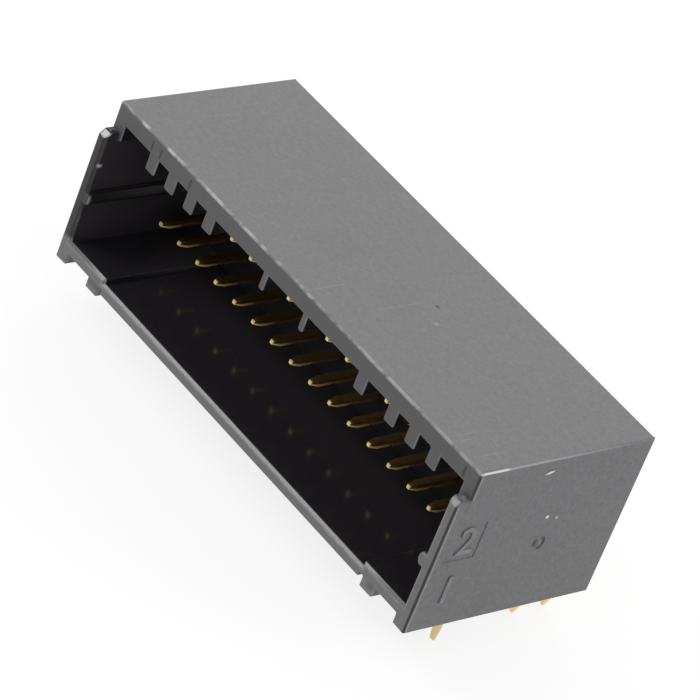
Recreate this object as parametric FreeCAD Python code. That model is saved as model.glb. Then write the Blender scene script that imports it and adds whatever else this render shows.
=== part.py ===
import FreeCAD, Part
import os

# Right-angle pin header: two rows of square contacts in a keyed, open-fronted shroud.
# Millimetres. The shroud stands on the board plane z = 0 and its mouth faces -Y.
# The origin is the centre of the pattern of solder tails, on the board plane.

# Contacts
PITCH = 2.54
CONTACTS_PER_ROW = 17
ROW_SPACING = 4.2
CONTACT_WIDTH = 0.64
CONTACT_REACH = 4.8
TIP_LENGTH = 0.75
TIP_FLAT = 0.3
BEND_RADIUS = 0.6
TAIL_ROW_SPACING = 3.2
TAIL_LENGTH = 3.6
TAIL_POINT = 0.7
TAIL_FLAT = 0.26
HOLE_CLEARANCE = 0.03

# Heights of the shroud, from the board up
STANDOFF = 0.55
FLOOR_WALL = 1.0
FLOOR_TO_LOWER_ROW = 2.4
UPPER_ROW_TO_CEILING = 4.9
TOP_WALL = 1.58

# Depths of the shroud, from the tails forward and back
REAR_MARGIN = 0.32
BEND_CLEARANCE = 0.33
WEB_THICKNESS = 1.7
TIP_RECESS = 5.81

# Ends and edges of the shroud
END_MARGIN = 2.78
END_WALL = 1.02
EDGE_ROUND = 0.18

# Lips of the floor and the end walls, which stand forward of the top wall
LIP_REACH = 1.2
LIP_DROP = 0.85
LIP_CHAMFER = 0.48
LEAD_IN = 0.27

# Raised ends of the floor, and what the shroud stands on
PAD_RISE = 0.42
PAD_WIDTH = 4.95
RAIL_WIDTH = 1.3
FOOT_WIDTH = 1.42
FOOT_INSET = 3.8
FOOT_SETBACK = 0.05
FOOT_LENGTH = 11.0

# Keys that hang from the ceiling at the mouth; places are in pitches
KEY_DROP = 1.46
KEY_WIDTH = 1.15
KEY_LENGTH = 6.0
KEY_CHAMFER = 0.1
LEFT_KEYS = (1, 2, 3, 4)
RIGHT_KEYS = (0.75, 1.75, 2.75, 4.25)
THIN_KEY_WIDTH = 0.55
THIN_KEYS = (-1.14, 0.87)
CORNER_KEY_WIDTH = 0.3

# Guide ridges inside the end walls
RIDGE_WIDTH = 1.1
RIDGE_DEPTH = 0.45
RIDGE_RISE = 4.65

# Hold-downs, pressed into pockets under the raised ends
HOLD_DOWN_THICKNESS = 0.45
HOLD_DOWN_HEAD_WIDTH = 2.4
HOLD_DOWN_HEAD_HEIGHT = 1.35
HOLD_DOWN_LEG_WIDTH = 0.58
HOLD_DOWN_LEG_LENGTH = 3.3
HOLD_DOWN_POINT = 1.1
HOLD_DOWN_POINT_FLAT = 0.2
HOLD_DOWN_INSET = 0.7
HOLD_DOWN_SETBACK = 4.5
HOLD_DOWN_CLEARANCE = 0.03
BOSS_WALL = 0.6

# Places that follow from the sizes above
FLOOR_TOP = STANDOFF + FLOOR_WALL
PAD_UNDERSIDE = STANDOFF + PAD_RISE
PAD_TOP = FLOOR_TOP + PAD_RISE
LOWER_ROW_Z = FLOOR_TOP + FLOOR_TO_LOWER_ROW
UPPER_ROW_Z = LOWER_ROW_Z + ROW_SPACING
CEILING = UPPER_ROW_Z + UPPER_ROW_TO_CEILING
TOP = CEILING + TOP_WALL
LIP_TOP = CEILING - LIP_DROP
LOWER_TAIL_Y = -TAIL_ROW_SPACING / 2
UPPER_TAIL_Y = TAIL_ROW_SPACING / 2
BEND_CENTRELINE = BEND_RADIUS + CONTACT_WIDTH / 2
WEB_BACK = LOWER_TAIL_Y - BEND_CENTRELINE - BEND_CLEARANCE
WEB_FRONT = WEB_BACK - WEB_THICKNESS
TIP_Y = WEB_FRONT - CONTACT_REACH
MOUTH = TIP_Y - TIP_RECESS
LIP_FRONT = MOUTH - LIP_REACH
BACK = UPPER_TAIL_Y + CONTACT_WIDTH / 2 + REAR_MARGIN
END_CONTACT_X = (CONTACTS_PER_ROW - 1) * PITCH / 2
HALF_WIDTH = END_CONTACT_X + END_MARGIN
INNER_HALF = HALF_WIDTH - END_WALL
PAD_EDGE = INNER_HALF - PAD_WIDTH
RAIL_EDGE = HALF_WIDTH - RAIL_WIDTH
HOLD_DOWN_X = INNER_HALF - HOLD_DOWN_INSET
HOLD_DOWN_Y = MOUTH + HOLD_DOWN_SETBACK
# How far a cutting shape runs past the face that it opens
PAST = 1.0


def vector(x, y, z):
    return FreeCAD.Vector(x, y, z)


def block(x_range, y_range, z_range):
    """Box between two x, two y and two z values."""
    corner = vector(x_range[0], y_range[0], z_range[0])
    return Part.makeBox(
        x_range[1] - x_range[0], y_range[1] - y_range[0], z_range[1] - z_range[0], corner
    )


def flat_face(points):
    return Part.Face(Part.makePolygon(points + points[:1]))


def at_depth(outline, y):
    """Points at one depth from an outline of (x, z) pairs."""
    return [vector(x, y, z) for x, z in outline]


def along_depth(outline, y_from, y_to):
    """Solid with an (x, z) outline that runs from one depth to another."""
    return flat_face(at_depth(outline, y_from)).extrude(vector(0, y_to - y_from, 0))


def tapered(start, end):
    """Solid with flat sides between two matching outlines."""
    faces = [flat_face(start), flat_face(end)]
    for index in range(len(start)):
        faces.append(flat_face([start[index - 1], start[index], end[index], end[index - 1]]))
    solid = Part.Solid(Part.Shell(faces))
    if solid.Volume < 0:
        solid.reverse()
    return solid


def mirrored_outline(half):
    """Closed outline from the +X half, listed from the bottom up."""
    return half + [(-x, z) for x, z in reversed(half)]


def contact_x(column):
    return column * PITCH - END_CONTACT_X


def lies_on(edge, **places):
    """Whether every end of an edge has the given coordinates."""
    return all(
        abs(getattr(vertex.Point, axis) - value) < 1e-6
        for vertex in edge.Vertexes
        for axis, value in places.items()
    )


def is_rounded(edge):
    """Edges of both end faces except those on the board, and the top wall's front edge."""
    on_end = lies_on(edge, x=HALF_WIDTH) or lies_on(edge, x=-HALF_WIDTH)
    return (on_end and not lies_on(edge, z=0)) or lies_on(edge, y=MOUTH, z=TOP)


def rounded_outer_block():
    """Outside of the moulding: the side profile drawn across the width, with rounded edges."""
    profile = [
        (LIP_FRONT, 0),
        (BACK, 0),
        (BACK, TOP),
        (MOUTH, TOP),
        (MOUTH, LIP_TOP),
        (LIP_FRONT + LIP_CHAMFER, LIP_TOP),
        (LIP_FRONT, LIP_TOP - LIP_CHAMFER),
    ]
    face = flat_face([vector(-HALF_WIDTH, y, z) for y, z in profile])
    solid = face.extrude(vector(2 * HALF_WIDTH, 0, 0))
    return solid.makeFillet(EDGE_ROUND, [edge for edge in solid.Edges if is_rounded(edge)])


def mouth_outline(grow, top):
    """Front view of the cavity, with the raised ends of its floor, grown by a distance."""
    return mirrored_outline(
        [
            (PAD_EDGE + grow, FLOOR_TOP - grow),
            (PAD_EDGE + grow, PAD_TOP - grow),
            (INNER_HALF + grow, PAD_TOP - grow),
            (INNER_HALF + grow, top),
        ]
    )


def cavity():
    """Space in front of the web, with the lead-in around the lips."""
    space = along_depth(mouth_outline(0, CEILING), LIP_FRONT - PAST, WEB_FRONT)
    wide = at_depth(mouth_outline(LEAD_IN, TOP), LIP_FRONT)
    narrow = at_depth(mouth_outline(0, TOP), LIP_FRONT + LEAD_IN)
    return space.fuse(tapered(wide, narrow))


def underside():
    """Space under the floor, between the end rails."""
    outline = mirrored_outline(
        [
            (RAIL_EDGE, -PAST),
            (RAIL_EDGE, PAD_UNDERSIDE),
            (PAD_EDGE, PAD_UNDERSIDE),
            (PAD_EDGE, STANDOFF),
        ]
    )
    return along_depth(outline, LIP_FRONT - PAST, BACK + PAST)


def rear_bay():
    """Space behind the web, open at the back and at the board, where the contacts turn down."""
    outline = mirrored_outline(
        [
            (RAIL_EDGE, -PAST),
            (RAIL_EDGE, PAD_UNDERSIDE),
            (INNER_HALF, PAD_UNDERSIDE),
            (INNER_HALF, CEILING),
        ]
    )
    return along_depth(outline, WEB_BACK, BACK + PAST)


def contact_holes():
    """Square holes through the web, one for each contact."""
    half = CONTACT_WIDTH / 2 + HOLE_CLEARANCE
    holes = []
    for row_z in (LOWER_ROW_Z, UPPER_ROW_Z):
        for column in range(CONTACTS_PER_ROW):
            x = contact_x(column)
            holes.append(
                block(
                    (x - half, x + half),
                    (WEB_FRONT - PAST, WEB_BACK + PAST),
                    (row_z - half, row_z + half),
                )
            )
    return holes


def key(x, width):
    """One key, with its two lower edges cut back."""
    side = width / 2
    low = CEILING - KEY_DROP
    outline = [
        (x - side, CEILING),
        (x - side, low + KEY_CHAMFER),
        (x - side + KEY_CHAMFER, low),
        (x + side - KEY_CHAMFER, low),
        (x + side, low + KEY_CHAMFER),
        (x + side, CEILING),
    ]
    return along_depth(outline, MOUTH, MOUTH + KEY_LENGTH)


def keys():
    """Keys under the ceiling, and the thicker top corners of the end walls."""
    solids = [key(-END_CONTACT_X + place * PITCH, KEY_WIDTH) for place in LEFT_KEYS]
    solids += [key(END_CONTACT_X - place * PITCH, KEY_WIDTH) for place in RIGHT_KEYS]
    solids += [key(place * PITCH, THIN_KEY_WIDTH) for place in THIN_KEYS]
    for side in (-1, 1):
        edges = sorted((side * (INNER_HALF - CORNER_KEY_WIDTH), side * INNER_HALF))
        solids.append(block(edges, (MOUTH, MOUTH + KEY_LENGTH), (CEILING - KEY_DROP, CEILING)))
    return solids


def ridge(side):
    """Guide ridge with a rounded nose, along the inside of one end wall."""
    z = FLOOR_TOP + RIDGE_RISE
    nose = RIDGE_DEPTH
    wall_x = side * INNER_HALF
    shoulder_x = side * (INNER_HALF - RIDGE_DEPTH + nose * 0.5)
    low = vector(wall_x, LIP_FRONT, z - RIDGE_WIDTH / 2)
    low_shoulder = vector(shoulder_x, LIP_FRONT, z - RIDGE_WIDTH / 2)
    tip = vector(side * (INNER_HALF - RIDGE_DEPTH), LIP_FRONT, z)
    high_shoulder = vector(shoulder_x, LIP_FRONT, z + RIDGE_WIDTH / 2)
    high = vector(wall_x, LIP_FRONT, z + RIDGE_WIDTH / 2)
    back_high = vector(side * (INNER_HALF + END_WALL / 2), LIP_FRONT, high.z)
    back_low = vector(side * (INNER_HALF + END_WALL / 2), LIP_FRONT, low.z)
    edges = [
        Part.makeLine(back_low, low_shoulder),
        Part.Arc(low_shoulder, tip, high_shoulder).toShape(),
        Part.makeLine(high_shoulder, back_high),
        Part.makeLine(back_high, back_low),
    ]
    face = Part.Face(Part.Wire(edges))
    return face.extrude(vector(0, WEB_FRONT - LIP_FRONT, 0))


def foot(side):
    """Rib under one raised end of the floor, down to the board."""
    centre = side * (INNER_HALF - FOOT_INSET)
    front = LIP_FRONT + FOOT_SETBACK
    return block(
        (centre - FOOT_WIDTH / 2, centre + FOOT_WIDTH / 2),
        (front, front + FOOT_LENGTH),
        (0, PAD_UNDERSIDE),
    )


def boss(side):
    """Block beside one end rail that carries a hold-down."""
    inner = HOLD_DOWN_X - HOLD_DOWN_THICKNESS / 2 - BOSS_WALL
    edges = sorted((side * inner, side * RAIL_EDGE))
    half = HOLD_DOWN_HEAD_WIDTH / 2 + BOSS_WALL
    return block(edges, (HOLD_DOWN_Y - half, HOLD_DOWN_Y + half), (0, PAD_UNDERSIDE))


def hold_down_pocket(side):
    """Blind pocket for the head of one hold-down."""
    half_x = HOLD_DOWN_THICKNESS / 2 + HOLD_DOWN_CLEARANCE
    half_y = HOLD_DOWN_HEAD_WIDTH / 2 + HOLD_DOWN_CLEARANCE
    centre = side * HOLD_DOWN_X
    return block(
        (centre - half_x, centre + half_x),
        (HOLD_DOWN_Y - half_y, HOLD_DOWN_Y + half_y),
        (-PAST, HOLD_DOWN_HEAD_HEIGHT + HOLD_DOWN_CLEARANCE),
    )


def make_housing():
    """The one-piece moulding."""
    body = rounded_outer_block()
    body = body.cut([cavity(), underside(), rear_bay()])
    additions = keys()
    for side in (-1, 1):
        additions += [ridge(side), foot(side), boss(side)]
    body = body.fuse(additions).removeSplitter()
    body = body.cut(contact_holes() + [hold_down_pocket(-1), hold_down_pocket(1)])
    return body.removeSplitter()


def corners(middle, first, second, width):
    """Corners of a square about a point, given its two directions."""
    half = width / 2
    signs = ((-1, -1), (1, -1), (1, 1), (-1, 1))
    return [middle + first * (half * a) + second * (half * b) for a, b in signs]


def make_contact(x, row_z, tail_y):
    """Square wire contact: tapered tip, straight run through the web, bend, tapered tail."""
    across = vector(1, 0, 0)
    back = vector(0, 1, 0)
    up = vector(0, 0, 1)
    tip = vector(x, TIP_Y, row_z)
    shoulder = tip + back * TIP_LENGTH
    bend_start = vector(x, tail_y - BEND_CENTRELINE, row_z)
    bend_axis = bend_start - up * BEND_CENTRELINE
    point_start = vector(x, tail_y, -TAIL_LENGTH + TAIL_POINT)
    tail_end = vector(x, tail_y, -TAIL_LENGTH)

    section = corners(shoulder, across, up, CONTACT_WIDTH)
    run = flat_face(section).extrude(bend_start - shoulder)
    bend = flat_face(corners(bend_start, across, up, CONTACT_WIDTH)).revolve(
        bend_axis, vector(-1, 0, 0), 90
    )
    tail_section = corners(point_start, across, back, CONTACT_WIDTH)
    tail = flat_face(tail_section).extrude(up * (bend_axis.z - point_start.z))
    taper = tapered(corners(tip, across, up, TIP_FLAT), section)
    point = tapered(corners(tail_end, across, back, TAIL_FLAT), tail_section)
    return run.fuse([bend, tail, taper, point]).removeSplitter()


def make_hold_down(side):
    """Flat leg with a wide head: the head sits in its pocket and the leg goes into the board."""
    head = HOLD_DOWN_HEAD_WIDTH / 2
    leg = HOLD_DOWN_LEG_WIDTH / 2
    flat = HOLD_DOWN_POINT_FLAT / 2
    end = -HOLD_DOWN_LEG_LENGTH
    half = [
        (flat, end),
        (leg, end + HOLD_DOWN_POINT),
        (leg, 0),
        (head, 0),
        (head, HOLD_DOWN_HEAD_HEIGHT),
    ]
    outline = mirrored_outline(half)
    x = side * HOLD_DOWN_X - HOLD_DOWN_THICKNESS / 2
    face = flat_face([vector(x, HOLD_DOWN_Y + y, z) for y, z in outline])
    return face.extrude(vector(HOLD_DOWN_THICKNESS, 0, 0))


def single_solid(shape):
    """The one solid of a shape that holds exactly one."""
    solid, = shape.Solids
    return solid


def build_nodes():
    nodes = {"housing": make_housing()}
    rows = (("contact_a", LOWER_ROW_Z, LOWER_TAIL_Y), ("contact_b", UPPER_ROW_Z, UPPER_TAIL_Y))
    for prefix, row_z, tail_y in rows:
        for column in range(CONTACTS_PER_ROW):
            name = f"{prefix}{column + 1:02d}"
            nodes[name] = make_contact(contact_x(column), row_z, tail_y)
    nodes["hold_down_left"] = make_hold_down(-1)
    nodes["hold_down_right"] = make_hold_down(1)
    return nodes


os.makedirs("parts", exist_ok=True)
for node_name, node_shape in build_nodes().items():
    single_solid(node_shape).exportStep(f"parts/{node_name}.step")
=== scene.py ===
import logging
import math
import operator
from collections.abc import Iterable
from dataclasses import dataclass
from enum import Enum
from functools import reduce

import bmesh
import bpy
from mathutils import Matrix, Vector


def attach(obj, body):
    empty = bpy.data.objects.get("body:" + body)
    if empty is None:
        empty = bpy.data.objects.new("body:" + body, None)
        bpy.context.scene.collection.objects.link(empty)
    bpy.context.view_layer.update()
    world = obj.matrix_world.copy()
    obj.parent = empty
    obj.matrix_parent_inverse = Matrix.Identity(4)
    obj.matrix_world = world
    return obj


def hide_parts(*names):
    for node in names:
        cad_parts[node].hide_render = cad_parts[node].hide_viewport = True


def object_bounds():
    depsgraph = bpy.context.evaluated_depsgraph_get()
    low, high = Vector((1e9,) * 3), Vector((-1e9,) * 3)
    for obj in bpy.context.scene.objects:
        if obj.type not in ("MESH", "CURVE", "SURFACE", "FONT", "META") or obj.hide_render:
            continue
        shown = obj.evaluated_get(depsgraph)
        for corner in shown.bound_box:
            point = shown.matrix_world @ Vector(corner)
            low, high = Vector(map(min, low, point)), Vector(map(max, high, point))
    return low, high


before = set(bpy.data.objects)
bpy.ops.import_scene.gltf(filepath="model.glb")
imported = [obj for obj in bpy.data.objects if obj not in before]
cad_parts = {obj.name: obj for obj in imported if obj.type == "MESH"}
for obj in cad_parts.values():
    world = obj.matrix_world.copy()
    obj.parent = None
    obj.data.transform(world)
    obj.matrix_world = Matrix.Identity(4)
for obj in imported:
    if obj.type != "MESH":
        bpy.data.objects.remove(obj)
CAD_BOX = [list(corner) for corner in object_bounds()]

logging.basicConfig(level=logging.INFO, format="%(message)s")
log = logging.getLogger("pin_header")

MM = 0.001
BODY = "root"
# Face attribute that marks rounded edges for the materials.
EDGE_MARK = "edge"
# Loose triangles of a CAD node are joined within this distance, in metres.
MERGE_DISTANCE = 1e-7
# Faces that turn by less than this are joined into one flat face.
FLAT_ANGLE = math.radians(0.5)
# Edges that turn by more than this are rounded, if they are long enough in millimetres.
CORNER_ANGLE = math.radians(28)
SHORT_EDGE = 0.04
# Faces that turn by less than this are shaded as one surface.
SMOOTH_ANGLE = math.radians(50)
# Widths over which a mask goes from 0 to 1, in millimetres, from crisp to faint.
HAIR, FIRM, SOFT, FADED = 0.03, 0.04, 0.05, 0.1
# Rays that see the floor and the room as white.
WHITE_RAYS = ("Is Camera Ray", "Is Glossy Ray", "Is Transmission Ray")
# Corners of a contact's path, in order from the mouth to below the board.
PATH = ("Tip", "Shoulder", "Elbow", "Tail shoulder", "Tail end")

Colour = tuple[float, float, float, float]
Pair = tuple[float, float]
Triple = tuple[float, float, float]


class Side(Enum):
    """End of the header, by the sign of its x."""

    LEFT = -1
    RIGHT = 1


class Row(Enum):
    """Row of contacts, by the letter in its nodes' names."""

    LOWER = "a"
    UPPER = "b"


@dataclass(frozen=True)
class Form:
    """Main places on the header in millimetres, worked out from the CAD's box and the walls."""

    half_width: float = CAD_BOX[1][0] / MM
    front: float = CAD_BOX[0][1] / MM
    top: float = CAD_BOX[1][2] / MM
    tail_end: float = CAD_BOX[0][2] / MM
    lip_reach: float = 1.2
    lip_drop: float = 0.85
    lip_chamfer: float = 0.48
    key_drop: float = 1.46
    top_wall: float = 1.58
    end_wall: float = 1.02
    edge_round: float = 0.18
    lead_in: float = 0.27
    standoff: float = 0.55
    floor_wall: float = 1.0
    pad_rise: float = 0.42
    ridge_reach: float = 0.5
    ridge_low: float = 5.5
    ridge_high: float = 6.9
    web_front: float = -4.55
    web_back: float = -2.85
    pitch: float = 2.54
    contacts: int = 17
    wire: float = 0.64
    lower_row: float = 3.95
    row_spacing: float = 4.2
    tip_y: float = -9.35
    tip_length: float = 0.75
    tip_flat: float = 0.3
    tail_y: float = 1.6

    @property
    def mouth(self) -> float:
        """Depth of the top wall's front face."""
        return self.front + self.lip_reach

    @property
    def ceiling(self) -> float:
        """Height of the underside of the top wall."""
        return self.top - self.top_wall

    @property
    def lip_top(self) -> float:
        """Height of the ledges on the side lips."""
        return self.ceiling - self.lip_drop

    @property
    def lip_slope(self) -> float:
        """Height less depth along the lips' cut-back top corners."""
        return self.lip_top - self.front - self.lip_chamfer

    @property
    def inner_half(self) -> float:
        """Distance from the middle to the inside of an end wall."""
        return self.half_width - self.end_wall

    @property
    def floor_top(self) -> float:
        """Height of the middle of the floor."""
        return self.standoff + self.floor_wall

    @property
    def pad_underside(self) -> float:
        """Height of the underside of the raised ends of the floor."""
        return self.standoff + self.pad_rise

    @property
    def pad_top(self) -> float:
        """Height of the raised ends of the floor."""
        return self.floor_top + self.pad_rise


FORM = Form()


def add_node(
    tree: bpy.types.NodeTree,
    kind: str,
    settings: dict[str, object] | None = None,
    inputs: dict[str | int, object] | None = None,
) -> bpy.types.Node:
    """Add a node to a tree.

    Args:
        tree: the tree of a material, of the world or of Geometry Nodes.
        kind: the node's type.
        settings: its properties, set before its sockets.
        inputs: constants, sockets or nodes (their first output) for its sockets, by name or number.

    Returns:
        The node.
    """
    node = tree.nodes.new(kind)
    for name, setting in (settings or {}).items():
        setattr(node, name, setting)
    for key, given in (inputs or {}).items():
        if isinstance(given, bpy.types.Node):
            given = given.outputs[0]
        if isinstance(given, bpy.types.NodeSocket):
            tree.links.new(given, node.inputs[key])
        else:
            node.inputs[key].default_value = given
    return node


class Value:
    """Shader socket that takes part in Python arithmetic by adding Math nodes."""

    def __init__(self, graph: "Graph", socket: bpy.types.NodeSocket) -> None:
        """Wrap one output socket of a graph."""
        self.graph = graph
        self.socket = socket

    def _math(self, operation: str, *values: "Value | float") -> "Value":
        """Add one Math node.

        Args:
            operation: the Math node's operation.
            values: its operands in order.

        Returns:
            The node's result.
        """
        return self.graph.add("ShaderNodeMath", {"operation": operation}, dict(enumerate(values)))

    def __add__(self, other: "Value | float") -> "Value":
        """Sum of two values."""
        return self._math("ADD", self, other)

    __radd__ = __add__

    def __sub__(self, other: "Value | float") -> "Value":
        """Difference of two values."""
        return self._math("SUBTRACT", self, other)

    def __rsub__(self, other: "Value | float") -> "Value":
        """Difference with this value taken away."""
        return self._math("SUBTRACT", other, self)

    def __mul__(self, other: "Value | float") -> "Value":
        """Product of two values."""
        return self._math("MULTIPLY", self, other)

    __rmul__ = __mul__

    def __truediv__(self, other: "Value | float") -> "Value":
        """Quotient of two values."""
        return self._math("DIVIDE", self, other)

    def __pow__(self, other: "Value | float") -> "Value":
        """Power of this value."""
        return self._math("POWER", self, other)

    def __abs__(self) -> "Value":
        """Size of this value."""
        return self._math("ABSOLUTE", self)

    def clamp(self) -> "Value":
        """This value kept between 0 and 1."""
        return self._math("MINIMUM", self._math("MAXIMUM", self, 0.0), 1.0)

    def above(self, edge: float, soft: float) -> "Value":
        """Mask of where this value is over an edge.

        Args:
            edge: the value at which the mask is half.
            soft: how far the mask takes to go from 0 to 1.

        Returns:
            The mask, from 0 to 1.
        """
        return ((self - (edge - soft / 2)) / soft).clamp()

    def below(self, edge: float, soft: float) -> "Value":
        """Mask of where this value is under an edge."""
        return 1 - self.above(edge, soft)

    def within(self, low: float, high: float, soft: float) -> "Value":
        """Mask of where this value lies between two edges."""
        return self.above(low, soft) * self.below(high, soft)

    def near(self, centre: float, reach: float) -> "Value":
        """Mask that is 1 at a value and falls to 0 at a distance from it."""
        return (1 - abs(self - centre) / reach).clamp()

    def from_nearest(self, start: float, step: float) -> "Value":
        """Distance from the nearest of a row of evenly spaced values."""
        offset = self - start
        return offset - self._math("ROUND", offset / step) * step


def total(masks: Iterable[Value]) -> Value:
    """Sum of one or more masks."""
    return reduce(operator.add, masks)


class Graph:
    """Node tree of one material."""

    # A Mix node's sockets where it mixes colours: its factor and two colours, and its result.
    MIX_INPUTS = (0, 6, 7)
    MIX_RESULT = 2

    def __init__(self, name: str) -> None:
        """Start a material with an empty tree.

        Args:
            name: the material's name.
        """
        self.material = bpy.data.materials.new(name)
        self.material.use_nodes = True
        self.tree = self.material.node_tree
        self.tree.nodes.clear()
        self.output = self.tree.nodes.new("ShaderNodeOutputMaterial")

    def add(
        self,
        kind: str,
        settings: dict[str, object] | None = None,
        inputs: dict[str | int, object] | None = None,
        result: str | int = 0,
    ) -> Value:
        """Add a node.

        Args:
            kind: the node's type.
            settings: its properties, set before its sockets.
            inputs: constants or values for its sockets, by name or number.
            result: the output socket that is wanted.

        Returns:
            The wanted output.
        """
        sockets = {
            key: given.socket if isinstance(given, Value) else given
            for key, given in (inputs or {}).items()
        }
        return Value(self, add_node(self.tree, kind, settings, sockets).outputs[result])

    def place(self) -> Value:
        """Position on the object, in millimetres."""
        coordinates = self.add("ShaderNodeTexCoord", result="Object")
        return self.add(
            "ShaderNodeVectorMath", {"operation": "SCALE"}, {0: coordinates, "Scale": 1 / MM}
        )

    def axes(self, position: Value) -> tuple[Value, Value, Value]:
        """The three coordinates of a position.

        Args:
            position: a vector.

        Returns:
            Its x, y and z.
        """
        split = self.add("ShaderNodeSeparateXYZ", None, {0: position})
        outputs = split.socket.node.outputs
        return tuple(Value(self, outputs[index]) for index in range(3))

    def attribute(self, name: str) -> Value:
        """A number that is stored on the mesh."""
        return self.add("ShaderNodeAttribute", {"attribute_name": name}, result="Fac")

    def stretched(self, position: Value, scale: Triple) -> Value:
        """A position scaled by a different amount along each axis."""
        return self.add("ShaderNodeMapping", None, {"Vector": position, "Scale": scale})

    def noise(self, position: Value, scale: float, detail: float, rough: float) -> Value:
        """Even noise about 0.5 with a given number of waves per millimetre."""
        inputs = {"Vector": position, "Scale": scale, "Detail": detail, "Roughness": rough}
        return self.add("ShaderNodeTexNoise", None, inputs)

    def specks(self, position: Value, scale: float, size: float) -> Value:
        """Mask of small scattered spots.

        Args:
            position: where the pattern is read.
            scale: cells per millimetre.
            size: radius of a spot, as a share of a cell.

        Returns:
            A mask that is 1 in the middle of each spot.
        """
        distance = self.add("ShaderNodeTexVoronoi", None, {"Vector": position, "Scale": scale})
        return (1 - distance / size).clamp()

    def blend(self, factor: Value | float, first: Value | Colour, second: Value | Colour) -> Value:
        """Mix of two colours, from the first at 0 to the second at 1."""
        inputs = dict(zip(self.MIX_INPUTS, (factor, first, second)))
        return self.add("ShaderNodeMix", {"data_type": "RGBA"}, inputs, self.MIX_RESULT)

    def layered(self, base: Value | Colour, layers: Iterable[tuple[Value, Colour]]) -> Value:
        """Colours laid over a base one after another, each where its mask says."""
        return reduce(lambda under, layer: self.blend(layer[0], under, layer[1]), layers, base)

    def bump(self, height: Value, depth: float, strength: float) -> Value:
        """Normal of a bumpy surface.

        Args:
            height: relief from 0 to 1.
            depth: how far 1 stands above 0, in millimetres.
            strength: how much of the relief shows.

        Returns:
            The bent normal.
        """
        inputs = {"Height": height, "Distance": depth * MM, "Strength": strength}
        return self.add("ShaderNodeBump", None, inputs)

    def shader(self, **inputs: object) -> Value:
        """Add a Principled shader.

        Args:
            inputs: its sockets, with underscores for spaces.

        Returns:
            The shader.
        """
        named = {name.replace("_", " "): given for name, given in inputs.items()}
        return self.add("ShaderNodeBsdfPrincipled", None, named)

    def mixed(self, factor: Value, first: Value, second: Value) -> Value:
        """Mix of two shaders, from the first at 0 to the second at 1."""
        return self.add("ShaderNodeMixShader", None, {0: factor, 1: first, 2: second})

    def finished(self, shader: Value) -> bpy.types.Material:
        """Give the material its shader, and return it."""
        self.tree.links.new(shader.socket, self.output.inputs[0])
        return self.material


def colour(red: float, green: float, blue: float) -> Colour:
    """Opaque linear colour."""
    return (red, green, blue, 1.0)


def finish_piece(obj: bpy.types.Object, replaced: list[str]) -> bpy.types.Object:
    """Tie a finished piece to the body and hide the CAD nodes that it stands for.

    Args:
        obj: the piece, at the origin.
        replaced: CAD nodes that it hides; empty for an added piece.

    Returns:
        The piece.
    """
    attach(obj, BODY)
    if replaced:
        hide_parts(*replaced)
    log.info("%s: %d faces", obj.name, len(obj.data.polygons))
    return obj


def add_object(name: str, data: bpy.types.ID) -> bpy.types.Object:
    """Put a mesh, text, light or camera in the scene, at the origin.

    Args:
        name: the object's name.
        data: its mesh, text, light or camera.

    Returns:
        The object.
    """
    obj = bpy.data.objects.new(name, data)
    bpy.context.scene.collection.objects.link(obj)
    return obj


def add_mesh(name: str, mesh: bpy.types.Mesh, material: bpy.types.Material) -> bpy.types.Object:
    """Put a mesh in the scene as an object at the origin with one material.

    Args:
        name: the object's name, and the mesh's.
        mesh: its mesh.
        material: its material.

    Returns:
        The object.
    """
    mesh.name = name
    mesh.materials.clear()
    mesh.materials.append(material)
    return add_object(name, mesh)


def mesh_from(name: str, work: bmesh.types.BMesh) -> bpy.types.Mesh:
    """Turn a worked-out shape into a new mesh.

    Args:
        name: the mesh's name.
        work: the shape, which is freed.

    Returns:
        The mesh.
    """
    mesh = bpy.data.meshes.new(name)
    work.to_mesh(mesh)
    work.free()
    return mesh


def mark_edges(mesh: bpy.types.Mesh, marks: list[float]) -> None:
    """Store on each face how much of a rounded edge it is, from 0 to 1."""
    mesh.attributes.new(EDGE_MARK, "FLOAT", "FACE").data.foreach_set("value", marks)


def plain_mesh(obj: bpy.types.Object) -> bpy.types.Mesh:
    """New plain mesh of what an object and its modifiers make."""
    graph = bpy.context.evaluated_depsgraph_get()
    return bpy.data.meshes.new_from_object(obj.evaluated_get(graph), depsgraph=graph)


def bake_modifiers(obj: bpy.types.Object) -> None:
    """Turn what an object's modifiers make into its plain mesh, and remove them.

    Args:
        obj: the object.
    """
    mesh = plain_mesh(obj)
    obj.modifiers.clear()
    old = obj.data
    obj.data = mesh
    mesh.name = obj.name
    bpy.data.meshes.remove(old)


def merged_copy(node: str) -> bpy.types.Mesh:
    """Copy of a CAD node's mesh with its triangles joined into flat faces.

    Args:
        node: the CAD node's name.

    Returns:
        The copy.
    """
    work = bmesh.new()
    work.from_mesh(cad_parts[node].data)
    bmesh.ops.remove_doubles(work, verts=work.verts, dist=MERGE_DISTANCE)
    bmesh.ops.dissolve_limit(work, angle_limit=FLAT_ANGLE, verts=work.verts, edges=work.edges)
    bmesh.ops.recalc_face_normals(work, faces=work.faces)
    return mesh_from(node, work)


def stays_sharp(edge: bmesh.types.BMEdge) -> bool:
    """Whether an edge has no room for a rounding or needs none.

    Args:
        edge: an edge of the housing or of a board leg.

    Returns:
        True for cuts in the right end face, the web's holes and the narrow step over each foot.
    """
    close, step_depth, step_height = 0.01, 0.1, 0.05
    ends = [vertex.co / MM for vertex in edge.verts]
    cut = all(end.x > FORM.half_width - FORM.edge_round - 2 * close for end in ends)
    web = all(FORM.web_front - close < end.y < FORM.web_back + close for end in ends)
    step = all(
        end.y < FORM.front + step_depth and abs(end.z - FORM.pad_underside) < step_height
        for end in ends
    )
    return cut or web or step or edge.calc_length() < SHORT_EDGE * MM


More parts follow.
